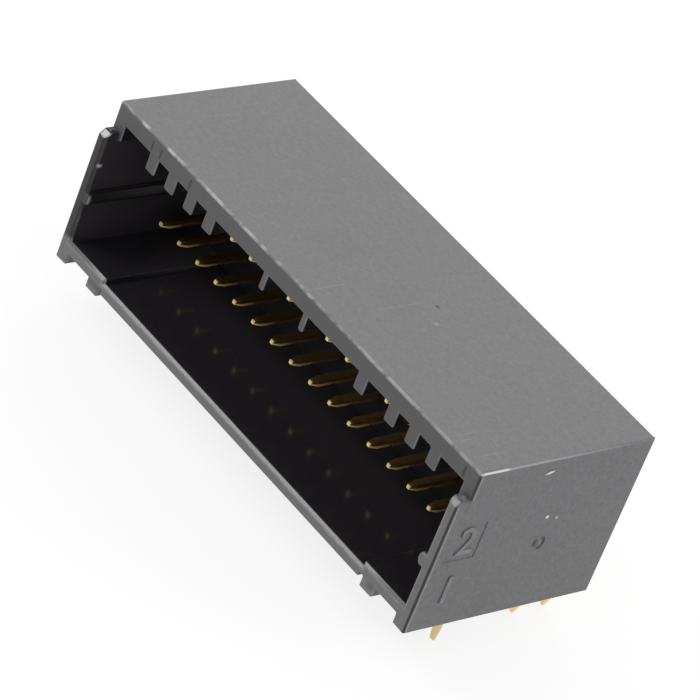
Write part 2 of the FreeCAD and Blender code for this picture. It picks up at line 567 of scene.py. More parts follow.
def soften_edges(obj: bpy.types.Object, width: float) -> None:
    """Round an object's outer edges, and mark the new faces for its material.

    Args:
        obj: the object, with one material.
        width: width of the rounding, in millimetres.
    """
    work = bmesh.new()
    work.from_mesh(obj.data)
    weights = work.edges.layers.float.new("bevel_weight_edge")
    for edge in work.edges:
        outer = len(edge.link_faces) == 2 and edge.is_convex
        sharp = outer and edge.calc_face_angle() > CORNER_ANGLE
        edge[weights] = float(sharp and not stays_sharp(edge))
    work.to_mesh(obj.data)
    work.free()
    # The new faces get a second slot's number, which is read and then taken off again.
    obj.data.materials.append(None)
    bevel = obj.modifiers.new("soft_edges", "BEVEL")
    bevel.width = width * MM
    bevel.segments = 3
    bevel.limit_method = "WEIGHT"
    bevel.use_clamp_overlap = False
    bevel.miter_outer = "MITER_ARC"
    bevel.material = 1
    bake_modifiers(obj)
    mesh = obj.data
    mark_edges(mesh, [float(polygon.material_index) for polygon in mesh.polygons])
    mesh.polygons.foreach_set("material_index", [0] * len(mesh.polygons))
    mesh.materials.pop()


def smooth_rounded(obj: bpy.types.Object) -> None:
    """Shade rounded edges smooth while the faces beside them stay flat.

    Args:
        obj: the object.
    """
    obj.data.shade_smooth()
    obj.data.set_sharp_from_angle(angle=SMOOTH_ANGLE)
    normals = obj.modifiers.new("flat_faces", "WEIGHTED_NORMAL")
    normals.keep_sharp = True
    bake_modifiers(obj)


@dataclass(frozen=True)
class Fleck:
    """Pale speck on the right end face, round or drawn out into a streak."""

    y: float
    z: float
    reach: float
    width: float
    turn: float = 0.0
    strength: float = 1.0

    def across(self, y: Value, z: Value) -> Value:
        """Distance to one side of the streak's middle line."""
        return (z - self.z) * math.cos(self.turn) - (y - self.y) * math.sin(self.turn)

    def mask(self, y: Value, z: Value) -> Value:
        """Where the speck lies.

        Args:
            y: depth on the end face, in millimetres.
            z: height on it.

        Returns:
            A mask from 0 to 1.
        """
        along = (y - self.y) * math.cos(self.turn) + (z - self.z) * math.sin(self.turn)
        far = ((along / self.reach) ** 2 + (self.across(y, z) / self.width) ** 2) ** 0.5
        return (1 - far).clamp().above(0.3, 0.5) * self.strength


@dataclass(frozen=True)
class Pit:
    """Small soft spot on the top."""

    x: float
    y: float
    reach: float
    strength: float

    def mask(self, x: Value, y: Value) -> Value:
        """Where the spot lies."""
        return x.near(self.x, self.reach) * y.near(self.y, self.reach) * self.strength


@dataclass(frozen=True)
class Cloud:
    """Large faint patch on the top."""

    x: Pair
    y: Pair
    soft: float = 0.8

    def mask(self, x: Value, y: Value) -> Value:
        """Where the patch lies."""
        return x.within(*self.x, self.soft) * y.within(*self.y, self.soft)


@dataclass(frozen=True)
class Scratch:
    """Fine straight line on the top, along y or along x."""

    place: float
    span: Pair
    reach: float = 0.08
    soft: float = 0.3
    along_x: bool = False

    def mask(self, x: Value, y: Value) -> Value:
        """Where the line lies."""
        across, along = (y, x) if self.along_x else (x, y)
        return across.near(self.place, self.reach) * along.within(*self.span, self.soft)


@dataclass(frozen=True)
class MouldingFinish:
    """Black moulded plastic: fine-grained outside, smoother at the front and glossy inside, with
    painted light and shade on some faces and edges.
    """

    outer: Colour = colour(0.061, 0.061, 0.065)
    outer_pale: Colour = colour(0.114, 0.114, 0.118)
    # Painted shade: the upper front faces are darker than the top.
    front: Colour = colour(0.06, 0.06, 0.063)
    # Painted light: the front of the floor and the right half of the front faces are paler.
    lip: Colour = colour(0.115, 0.115, 0.115)
    # Painted shade: the left side lip is darker than the right one.
    painted_shade_left_lip: Colour = colour(0.02, 0.018, 0.02)
    inner: Colour = colour(0.017, 0.0155, 0.018)
    # Painted light: the mouth's side walls and its back are paler.
    deep: Colour = colour(0.036, 0.032, 0.037)
    # Painted shade on the web, the guide ridges and the rounded edges inside the mouth.
    web: Colour = colour(0.005, 0.0045, 0.0055)
    # Witness lines, and painted shade on the rounded front edges and beside the white streak.
    line: Colour = colour(0.012, 0.012, 0.014)
    # Faint mould lines and edge wear, with painted highlights on the rounded edges, beside the
    # front edges and on the numbers.
    pale: Colour = colour(0.21, 0.21, 0.215)
    # White wear and dust, with painted highlights on the top edge of the end face and on the left
    # lip's cut-back corner.
    scuff_and_highlight: Colour = colour(0.5, 0.5, 0.51)
    ior: float = 1.5
    outer_roughness: float = 0.5
    outer_specular: float = 0.5
    inner_roughness: float = 0.15
    inner_specular: float = 0.34
    grain_depth: float = 0.016
    top_skin: float = 0.13
    end_skin: float = 0.08
    beside_edge: Pair = (0.17, 0.36)
    seams: tuple[float, ...] = (-13.3, -18.36, -17.25, 21.5)
    seam_reach: float = 0.14
    seam_strength: float = 1.6
    clouds: tuple[Cloud, ...] = (
        Cloud(x=(-4.8, -1.4), y=(-10.5, -6.6)),
        Cloud(x=(2.4, 5.4), y=(-9.5, -6.4)),
    )
    cloud_strength: float = 0.08
    pit: Pit = Pit(x=5.4, y=-5.26, reach=0.22, strength=3.0)
    over_edge: Scratch = Scratch(FORM.half_width - 0.26, (-15.0, -12.9), reach=0.1, soft=0.4)
    pale_lines: tuple[Scratch, ...] = (
        Scratch(18.8, (-14.46, -12.16)),
        Scratch(19.4, (-14.26, -12.56)),
        Scratch(21.3, (-14.06, -11.56)),
        Scratch(-11.56, (19.8, 20.7), reach=0.1, soft=0.2, along_x=True),
        Scratch(1.3, (-15.0, -11.2), reach=0.09),
        Scratch(4.64, (-10.9, -6.1), reach=0.09),
    )
    pale_spot: Pit = Pit(x=7.19, y=-6.8, reach=0.28, strength=2.5)
    pale_strength: float = 0.35
    flecks: tuple[Fleck, ...] = (
        Fleck(y=-7.87, z=13.4, reach=0.56, width=0.15, turn=0.25),
        Fleck(y=-6.06, z=8.86, reach=0.21, width=0.21),
        Fleck(y=-5.01, z=8.61, reach=0.17, width=0.17, strength=0.6),
    )
    nick_height: float = 9.2
    nick_reach: float = 0.22

    def build(self) -> bpy.types.Material:
        """Make the material.

        Returns:
            The material.
        """
        graph = Graph("moulded_black_plastic")
        place = graph.place()
        axes = graph.axes(place)
        rounded = graph.attribute(EDGE_MARK)
        outside = self.outside(graph, place, axes, rounded)
        inside = self.inside(graph, place, axes, rounded)
        # The mouth and the left side lip take the inside shader: smoother plastic, with a darker
        # colour that is partly painted shade.
        return graph.finished(graph.mixed(self.polished_and_shaded(*axes), outside, inside))

    def outside(
        self, graph: Graph, place: Value, axes: tuple[Value, Value, Value], rounded: Value
    ) -> Value:
        """Grained plastic, with its wear, the marks of the mould, and painted light and shade.

        Args:
            graph: the material's nodes.
            place: position on the piece, in millimetres.
            axes: its three coordinates.
            rounded: 1 on rounded edges.

        Returns:
            The shader.
        """
        x, y, z = axes
        cloud = graph.noise(place, 0.3, 4.0, 0.6)
        mottle = graph.noise(place, 2.2, 4.0, 0.65)
        grain = graph.noise(place, 6.0, 3.0, 0.65)
        fine = graph.noise(place, 20.0, 2.0, 0.5)
        wear = graph.noise(place, 0.9, 2.0, 0.5)
        tone = cloud.above(0.5, 0.6) * 0.3 + mottle.above(0.5, 0.3) * 0.4
        tone = tone + grain.above(0.5, 0.25) * 0.4
        # Painted highlight along the top wall's front edge, broken up by wear and brighter to the
        # left.
        wear_and_highlight = self.front_line(y, z) * (0.12 + wear.above(0.5, 0.2) * 0.5)
        layers = (
            (tone, self.outer_pale),
            # Painted shade on the upper front faces.
            (self.upper_front(y, z), self.front),
            # Painted light on the front of the floor and on the right half of the front faces.
            (self.floor_lip(x, y, z), self.lip),
            # Rounded edges are paler: wear, and a painted highlight.
            (rounded * (0.25 + wear.above(0.5, 0.25) * 0.45), self.pale),
            (wear_and_highlight * (0.8 - x * 0.012), self.scuff_and_highlight),
            (self.pale_marks(x, y, z), self.pale),
            (self.dark_marks(x, y, z), self.line),
            (self.scuffs_and_highlights(x, y, z), self.scuff_and_highlight),
            (graph.specks(place, 0.8, 0.03) * 0.6, self.scuff_and_highlight),
        )
        rough = self.outer_roughness + (cloud - 0.5) * 0.14 + (grain - 0.5) * 0.1
        return graph.shader(
            Base_Color=graph.layered(self.outer, layers),
            Roughness=rough * (1 - self.lead_in(y, z) * 0.45),
            Normal=graph.bump(grain * 0.6 + fine * 0.4, self.grain_depth, 0.5),
            IOR=self.ior,
            Specular_IOR_Level=self.outer_specular,
        )

    def inside(
        self, graph: Graph, place: Value, axes: tuple[Value, Value, Value], rounded: Value
    ) -> Value:
        """Glossy plastic of the mouth, rougher on the web and on the guide ridges, with painted
        shade there, on the rounded edges and on the left side lip, and painted light towards the
        side walls and the back.

        Args:
            graph: the material's nodes.
            place: position on the piece, in millimetres.
            axes: its three coordinates.
            rounded: 1 on rounded edges.

        Returns:
            The shader.
        """
        x, y, z = axes
        across = abs(x)
        smear = graph.noise(graph.stretched(place, (0.5, 2.0, 2.0)), 1.0, 3.0, 0.5)
        ridge = across.above(FORM.inner_half - FORM.ridge_reach, FIRM)
        ridge = ridge * z.within(FORM.ridge_low, FORM.ridge_high, FIRM)
        ridge = ridge * y.above(FORM.front + 0.4, FADED)
        # The web, the guide ridges and the rounded edges inside are rougher, and painted dark as
        # shade.
        dull = (y.above(FORM.web_front - 0.06, FIRM) + ridge).clamp()
        # Painted light: paler towards the side walls and the back of the mouth.
        walls = across.above(FORM.inner_half - 0.12, SOFT) + y.above(-10.5, 6.0) * 0.55
        # Painted shade on the front of the left side lip.
        side = self.left_lip(x, y, z) * across.above(FORM.inner_half + 0.05, FIRM)
        layers = (
            (walls.clamp(), self.deep),
            ((dull + rounded * 0.8).clamp(), self.web),
            (side, self.painted_shade_left_lip),
            (graph.specks(place, 0.7, 0.04) * 0.12, self.scuff_and_highlight),
            (self.nick(x, y, z), self.scuff_and_highlight),
        )
        return graph.shader(
            Base_Color=graph.layered(self.inner, layers),
            Roughness=self.inner_roughness + (smear - 0.5) * 0.08 + dull * 0.45 + rounded * 0.5,
            IOR=self.ior,
            Specular_IOR_Level=self.inner_specular,
        )

    def on_top(self, z: Value, soft: float = FADED) -> Value:
        """Where the top face is, with the rounding along its edges."""
        return z.above(FORM.top - self.top_skin, soft)

    def on_end(self, x: Value) -> Value:
        """Where the right end face is, with the rounding along its edges."""
        return x.above(FORM.half_width - self.end_skin, SOFT)

    def cut_corner(self, y: Value, z: Value) -> Value:
        """Where the lips' cut-back top corners are, and everything above and before them."""
        return (z - y).above(FORM.lip_slope - 0.04, SOFT)

    def polished_and_shaded(self, x: Value, y: Value, z: Value) -> Value:
        """Where the plastic takes the glossy inside shader: inside the mouth, whose darker colour
        is partly painted shade, and on the left side lip, as painted shade.

        Args:
            x: place along the rows, in millimetres.
            y: its depth.
            z: its height.

        Returns:
            A mask from 0 to 1.
        """
        across = abs(x)
        low = FORM.floor_top - 0.2
        height = z.within(FORM.floor_top - 0.35, FORM.ceiling + 0.15, SOFT)
        behind = y.within(FORM.mouth + 0.1, FORM.web_front + 0.15, HAIR)
        mouth = behind * across.below(FORM.inner_half + 0.24, FADED) * height
        forward = y.within(FORM.front + FORM.lead_in - 0.02, FORM.mouth - HAIR, HAIR)
        lips = forward * z.within(low, FORM.lip_top - 0.1, SOFT)
        under_keys = z.within(low, FORM.ceiling - FORM.key_drop - 0.12, HAIR)
        lips = lips + y.within(FORM.mouth - HAIR, FORM.mouth + 0.16, HAIR) * under_keys
        lips = lips * across.below(FORM.inner_half + HAIR, HAIR)
        return (mouth + lips + self.left_lip(x, y, z)).clamp()

    def left_lip(self, x: Value, y: Value, z: Value) -> Value:
        """Where the left side lip is painted dark and smooth as shade, below its cut-back top
        corner.

        Args:
            x: place along the rows, in millimetres.
            y: its depth.
            z: its height.

        Returns:
            A mask from 0 to 1.
        """
        wall = x.below(0.3 - FORM.inner_half, FADED) * y.below(FORM.mouth - 0.02, HAIR)
        facet = self.cut_corner(y, z) * z.below(FORM.lip_top - 0.06, FIRM)
        inner_side = x.above(-FORM.half_width + FORM.edge_round * 0.6, SOFT)
        return wall * inner_side * z.above(FORM.pad_top + 0.3, 0.3) * (1 - facet)

    def upper_front(self, y: Value, z: Value) -> Value:
        """Where the top wall's front face and the keys' front faces are darker, as painted shade.
        """
        face = y.within(FORM.mouth - 0.05, FORM.mouth + 0.04, HAIR)
        return face * z.above(FORM.lip_top - 1.0, FIRM)

    def floor_lip(self, x: Value, y: Value, z: Value) -> Value:
        """Where the front of the floor and its lead-in, and by half the right half of the front
        faces, are painted paler as light.

        Args:
            x: place along the rows, in millimetres.
            y: its depth.
            z: its height.

        Returns:
            A mask from 0 to 1.
        """
        front = y.below(FORM.front + FORM.lead_in + 0.04, HAIR)
        floor = front * z.below(FORM.pad_top + 0.06, SOFT)
        return (floor + x.above(0, FADED) * front * 0.5).clamp()

    def lead_in(self, y: Value, z: Value) -> Value:
        """Where the lead-in around the lips and their cut-back corners are smooth.

        Args:
            y: depth, in millimetres.
            z: height.

        Returns:
            A mask from 0 to 1.
        """
        sloped = y.within(FORM.front + 0.04, FORM.front + FORM.lead_in, HAIR)
        floor = sloped * z.below(FORM.pad_top + 0.1, SOFT)
        corner = self.cut_corner(y, z) * y.below(FORM.mouth - 0.5, FADED) * z.above(10.0, 0.2)
        return (floor + corner).clamp()

    def front_line(self, y: Value, z: Value) -> Value:
        """Rounding along the front edge of the top wall, painted paler as a highlight broken up by
        wear.
        """
        front = y.below(FORM.mouth + FORM.edge_round, 0.08)
        return front * z.above(FORM.top - FORM.edge_round, 0.08)

    def front_edges(self, across: Value, y: Value, z: Value) -> Value:
        """Rounded upright edges beside the front faces.

        Args:
            across: distance from the middle, in millimetres.
            y: depth.
            z: height.

        Returns:
            A mask from 0 to 1.
        """
        upper = y.below(FORM.mouth + 0.17, HAIR) * z.above(FORM.lip_top, HAIR)
        upright = z.below(FORM.top - FORM.edge_round, 0.06)
        forward = y.below(FORM.front + 0.16, HAIR)
        return across.above(FORM.half_width - 0.15, FIRM) * (upper * upright + forward).clamp()

    def dark_marks(self, x: Value, y: Value, z: Value) -> Value:
        """Witness lines that the mould leaves, with painted shade on the rounded front edges and a
        painted shadow beside the white streak on the end face.

        Args:
            x: place along the rows, in millimetres.
            y: its depth.
            z: its height.

        Returns:
            A mask from 0 to 1.
        """
        clouds = total(cloud.mask(x, y) for cloud in self.clouds) * self.cloud_strength
        top = self.on_top(z) * (clouds + self.pit.mask(x, y) + self.over_edge.mask(x, y) * 0.5)
        strip = y.below(FORM.mouth + 0.06, FIRM) * z.above(FORM.ceiling + 0.25, 0.2)
        seams = total(x.near(place, self.seam_reach) for place in self.seams)
        strip = strip * seams * z.below(FORM.top - 0.5, FADED) * self.seam_strength
        # Painted shadow beside the white streak on the end face.
        streak = self.flecks[0]
        side = streak.across(y, z).within(0.09, 0.24, FIRM) * y.near(streak.y, 0.5).above(0.2, 0.3)
        # Painted shade on the rounded front edges.
        edges = self.front_edges(abs(x), y, z)
        return (top + strip + edges + self.on_end(x) * side * 0.8).clamp()

    def pale_marks(self, x: Value, y: Value, z: Value) -> Value:
        """Faint pale lines on the top, and a painted highlight beside the front edges on the right
        end face.

        Args:
            x: place along the rows, in millimetres.
            y: its depth.
            z: its height.

        Returns:
            A mask from 0 to 1.
        """
        lines = total(mark.mask(x, y) for mark in (*self.pale_lines, self.pale_spot))
        # Painted highlight in bands beside the front edges, on the right end face only.
        near, far = self.beside_edge
        upper = y.within(FORM.mouth + near, FORM.mouth + far, SOFT) * z.above(FORM.lip_top, SOFT)
        forward = y.within(FORM.front + near, FORM.front + far, SOFT)
        beside = upper + forward * z.below(FORM.lip_top - 0.3, FADED)
        end = x.above(FORM.half_width - 0.04, HAIR)
        return (self.on_top(z) * lines * self.pale_strength + end * beside * 0.5).clamp()

    def scuffs_and_highlights(self, x: Value, y: Value, z: Value) -> Value:
        """White flecks on the right end face, its top edge with wear and a painted highlight, and a
        painted highlight on the left lip's cut-back corner.

        Args:
            x: place along the rows, in millimetres.
            y: its depth.
            z: its height.

        Returns:
            A mask from 0 to 1.
        """
        flecks = total(fleck.mask(y, z) for fleck in self.flecks)
        # The top edge of the end face: wear, and a painted highlight that fades towards the back.
        edge = x.above(FORM.half_width - 0.12, SOFT) * self.on_top(z, SOFT)
        wear_and_highlight = y.within(-14.95, -12.4, 0.5) * 0.7 + y.below(-4.5, 10.0) * 0.22 + 0.04
        # Painted highlight on the left lip's cut-back corner.
        left = x.within(0.2 - FORM.half_width, -0.15 - FORM.inner_half, 0.2)
        corner = left * y.below(FORM.mouth - 0.5, FADED) * self.cut_corner(y, z)
        return (self.on_end(x) * flecks + edge * wear_and_highlight + corner * 0.6).clamp()

    def nick(self, x: Value, y: Value, z: Value) -> Value:
        """Small pale nick on the inner edge of the left side lip."""
        spot = x.near(-FORM.inner_half, 0.2) * z.near(self.nick_height, self.nick_reach)
        return spot * y.below(FORM.mouth - 0.7, 0.2)


@dataclass(frozen=True)
class GoldFinish:
    """Thin gold plating on drawn square wire, paler where the tips are sheared, with painted
    highlights there and along the lower right edges, and painted shade deeper in the mouth.
    """

    name: str = "gold_plated_wire"
    bright: Colour = colour(0.90, 0.66, 0.31)
    dull: Colour = colour(0.70, 0.43, 0.18)
    # Sheared tips, with a painted highlight.
    sheared: Colour = colour(1.0, 0.8, 0.28)
    # Painted highlight along the contacts' lower right edges.
    edge_highlight_colour: Colour = colour(0.95, 0.6, 0.25)
    shaded: Colour = colour(0.2, 0.12, 0.05)
    roughness: float = 0.2
    sheared_roughness: float = 0.28
    drawn_scale: Triple = (9.0, 0.8, 9.0)
    drawn_depth: float = 0.004
    sheared_before: float | None = None

    def build(self) -> bpy.types.Material:
        """Make the material.

        Returns:
            The material.
        """
        graph = Graph(self.name)
        place = graph.place()
        drawn = graph.noise(graph.stretched(place, self.drawn_scale), 1.0, 3.0, 0.6)
        cloud = graph.noise(place, 1.1, 2.0, 0.5)
        tone = cloud.above(0.5, 0.5) * 0.5 + drawn.above(0.5, 0.6) * 0.2
        base = graph.blend(tone, self.bright, self.dull)
        rough = self.roughness + (drawn - 0.5) * 0.06
        metallic: Value | float = 1.0
        if self.sheared_before is not None:
            x, y, z = graph.axes(place)
            tip = y.below(self.sheared_before, 0.06)
            # Painted highlight along the lower right edges, made less metallic so that it catches
            # light.
            edge_highlight = self.edge_highlight(self.right_side(x, y), y, z)
            # Sheared tips, and the painted highlight just behind them, take this colour.
            sheared = (tip + edge_highlight.above(0.5, 0.4) * y.below(self.sheared_before + 0.3, 0.2)).clamp()
            # Painted shade: darker towards the left and deeper in the mouth.
            deep = x.below(-3.0, 17.0) * y.within(FORM.tip_y + 0.4, FORM.web_front, 0.4)
            layers = ((deep * 0.75, self.shaded), (edge_highlight, self.edge_highlight_colour), (sheared, self.sheared))
            base = graph.layered(base, layers)
            rough = rough * (1 - tip) + tip * self.sheared_roughness + edge_highlight * 0.2
            mouth = y.below(FORM.web_front, 0.3)
            metallic = (1 - edge_highlight * 0.7 - sheared * 0.85 - mouth * 0.05).clamp()
        metal = graph.shader(
            Base_Color=base,
            Metallic=metallic,
            Roughness=rough,
            Normal=graph.bump(drawn, self.drawn_depth, 0.3),
        )
        return graph.finished(metal)

    def right_side(self, x: Value, y: Value) -> Value:
        """Right side of each contact, along its taper too.

        Args:
            x: place along the rows, in millimetres.
            y: its depth.

        Returns:
            A mask from 0 to 1.
        """
        grown = ((y - FORM.tip_y) / FORM.tip_length).clamp()
        half = FORM.tip_flat / 2 + grown * ((FORM.wire - FORM.tip_flat) / 2)
        return (x.from_nearest(0.0, FORM.pitch) - half).above(-0.05, HAIR)

    def edge_highlight(self, side: Value, y: Value, z: Value) -> Value:
        """Painted highlight along the lower right edges of the contacts in the mouth, strongest
        behind the tips.

        Args:
            side: mask of the contacts' right sides.
            y: depth, in millimetres.
            z: height.

        Returns:
            A mask from 0 to 1.
        """
        low = z.from_nearest(FORM.lower_row, FORM.row_spacing).below(-0.08, 0.12)
        reach = 0.25 + y.below(FORM.tip_y + 1.4, 1.6) * 0.75
        return side * low * y.below(FORM.web_front, 0.3) * reach


@dataclass(frozen=True)
class FloorFinish:
    """Plain pale sheet that the camera and reflections see as nearly white."""

    shade: Colour = colour(0.96, 0.96, 0.96)
    roughness: float = 0.9
    specular: float = 0.1
    whiteness: float = 0.82

    def build(self) -> bpy.types.Material:
        """Make the material.

        Returns:
            The material.
        """
        graph = Graph("pale_sheet")
        sheet = graph.shader(
            Base_Color=self.shade, Roughness=self.roughness, Specular_IOR_Level=self.specular
        )
        white = graph.add("ShaderNodeEmission", None, {"Color": colour(1, 1, 1), "Strength": 1.0})
        rays = graph.add("ShaderNodeLightPath").socket.node.outputs
        seen = total(Value(graph, rays[ray]) for ray in WHITE_RAYS)
        return graph.finished(graph.mixed(seen.clamp() * self.whiteness, sheet, white))


@dataclass
class Shroud:
    """The moulded housing, with softened edges, row numbers and the mark of its gate."""

    edge: float = 0.085
    end_x: float = FORM.half_width
    number_height: float = 2.5
    number_relief: float = 0.08
    number_round: float = 0.03
    # How much the numbers are painted paler, as a highlight on the raised strokes.
    number_highlight: float = 0.55
    digit_share: float = 0.7
    lower_number: Pair = (-13.75, 3.5)
    upper_number: Pair = (-13.7, 8.05)
    panel_low: Pair = (-15.4, 6.4)
    panel_high: Pair = (-12.3, 9.75)
    panel_depth: float = 0.06
    gate: Pair = (-5.82, 6.33)
    gate_radius: float = 0.66
    gate_nub: float = 0.34
    gate_depth: float = 0.14
    gate_steps: int = 28

    def build(self, material: bpy.types.Material) -> None:
        """Make every piece of the shroud.

        Args:
            material: its plastic.
        """
        body = add_mesh("shroud", merged_copy("housing"), material)
        self.cut(body, self.panel_cutter())
        self.cut(body, self.gate_cutter())
        soften_edges(body, self.edge)
        smooth_rounded(body)
        finish_piece(body, ["housing"])
        self.number("row_number_1", "1", self.lower_number, 0.0, material)
        self.number("row_number_2", "2", self.upper_number, self.panel_depth, material)

    def panel_cutter(self) -> bmesh.types.BMesh:
        """Box that sinks the shallow panel behind the upper row's number.

        Returns:
            The box.
        """
        work = bmesh.new()
        low, high = self.panel_low, self.panel_high
        size = Vector((2 * self.panel_depth, high[0] - low[0], high[1] - low[1])) * MM
        centre = Vector((self.end_x, (high[0] + low[0]) / 2, (high[1] + low[1]) / 2)) * MM
        matrix = Matrix.Translation(centre) @ Matrix.Diagonal((*size, 1))
        bmesh.ops.create_cube(work, size=1.0, matrix=matrix)
        return work

    def gate_cutter(self) -> bmesh.types.BMesh:
        """Ring that leaves a nub in a shallow round dimple, where the plastic came in.

        Returns:
            The ring.
        """
        work = bmesh.new()
        outer_deep, nub_deep, outer_high, nub_high = (
            self.gate_ring(work, depth, radius)
            for depth in (self.gate_depth, -self.gate_depth)
            for radius in (self.gate_radius, self.gate_nub)
        )
        bands = (
            (outer_deep, nub_deep),
            (nub_deep, nub_high),
            (nub_high, outer_high),
            (outer_high, outer_deep),
        )
        for first, second in bands:
            for step in range(self.gate_steps):
                after = (step + 1) % self.gate_steps
                work.faces.new((first[step], first[after], second[after], second[step]))
        bmesh.ops.recalc_face_normals(work, faces=work.faces)
        return work

    def gate_ring(
        self, work: bmesh.types.BMesh, depth: float, radius: float
    ) -> list[bmesh.types.BMVert]:
        """Add the points of one circle about the gate.

        Args:
            work: the shape that gets them.
            depth: how far below the end face they lie, in millimetres.
            radius: the circle's, in millimetres.

        Returns:
            The points, in order.
        """
        ring = []
        for step in range(self.gate_steps):
            angle = math.tau * step / self.gate_steps
            y = self.gate[0] + radius * math.cos(angle)
            z = self.gate[1] + radius * math.sin(angle)
            ring.append(work.verts.new(Vector((self.end_x - depth, y, z)) * MM))
        return ring

    def cut(self, body: bpy.types.Object, work: bmesh.types.BMesh) -> None:
        """Cut a shape out of the body.

        Args:
            body: the housing's object.
            work: the shape, which is freed.
        """
        mesh = mesh_from("cutter", work)
        cutter = add_object("cutter", mesh)
        modifier = body.modifiers.new("cut", "BOOLEAN")
        modifier.operation = "DIFFERENCE"
        modifier.solver = "EXACT"
        modifier.object = cutter
        bake_modifiers(body)
        bpy.data.objects.remove(cutter)
        bpy.data.meshes.remove(mesh)

    def number(
        self, name: str, digit: str, centre: Pair, sunk: float, material: bpy.types.Material
    ) -> None:
        """Raise one plain number on the right end face.

        Args:
            name: name of the piece.
            digit: what it shows.
            centre: its middle, as (y, z) in millimetres.
            sunk: how far below the end face its ground lies.
            material: its plastic.
        """
        text = bpy.data.curves.new(name, "FONT")
        text.body = digit
        text.align_x = "CENTER"
        text.align_y = "CENTER"
        text.size = self.number_height * MM / self.digit_share
        text.extrude = self.number_relief * MM
        text.bevel_depth = self.number_round * MM
        text.bevel_resolution = 1
        text.resolution_u = 6
        source = add_object(name + "_text", text)
        mesh = plain_mesh(source)
        bpy.data.objects.remove(source)
        bpy.data.curves.remove(text)
        # The text's plane turns to face +X, with its lines along +Y and its top towards +Z.
        turn = Matrix(((0, 0, 1, 0), (1, 0, 0, 0), (0, 1, 0, 0), (0, 0, 0, 1)))
        spot = Vector((self.end_x - sunk, *centre)) * MM
        mesh.transform(Matrix.Translation(spot) @ turn)
        # The numbers' faces count as rounded edges, so they are painted paler as a highlight on the
        # raised strokes.
        mark_edges(mesh, [self.number_highlight] * len(mesh.polygons))
        finish_piece(add_mesh(name, mesh, material), [])


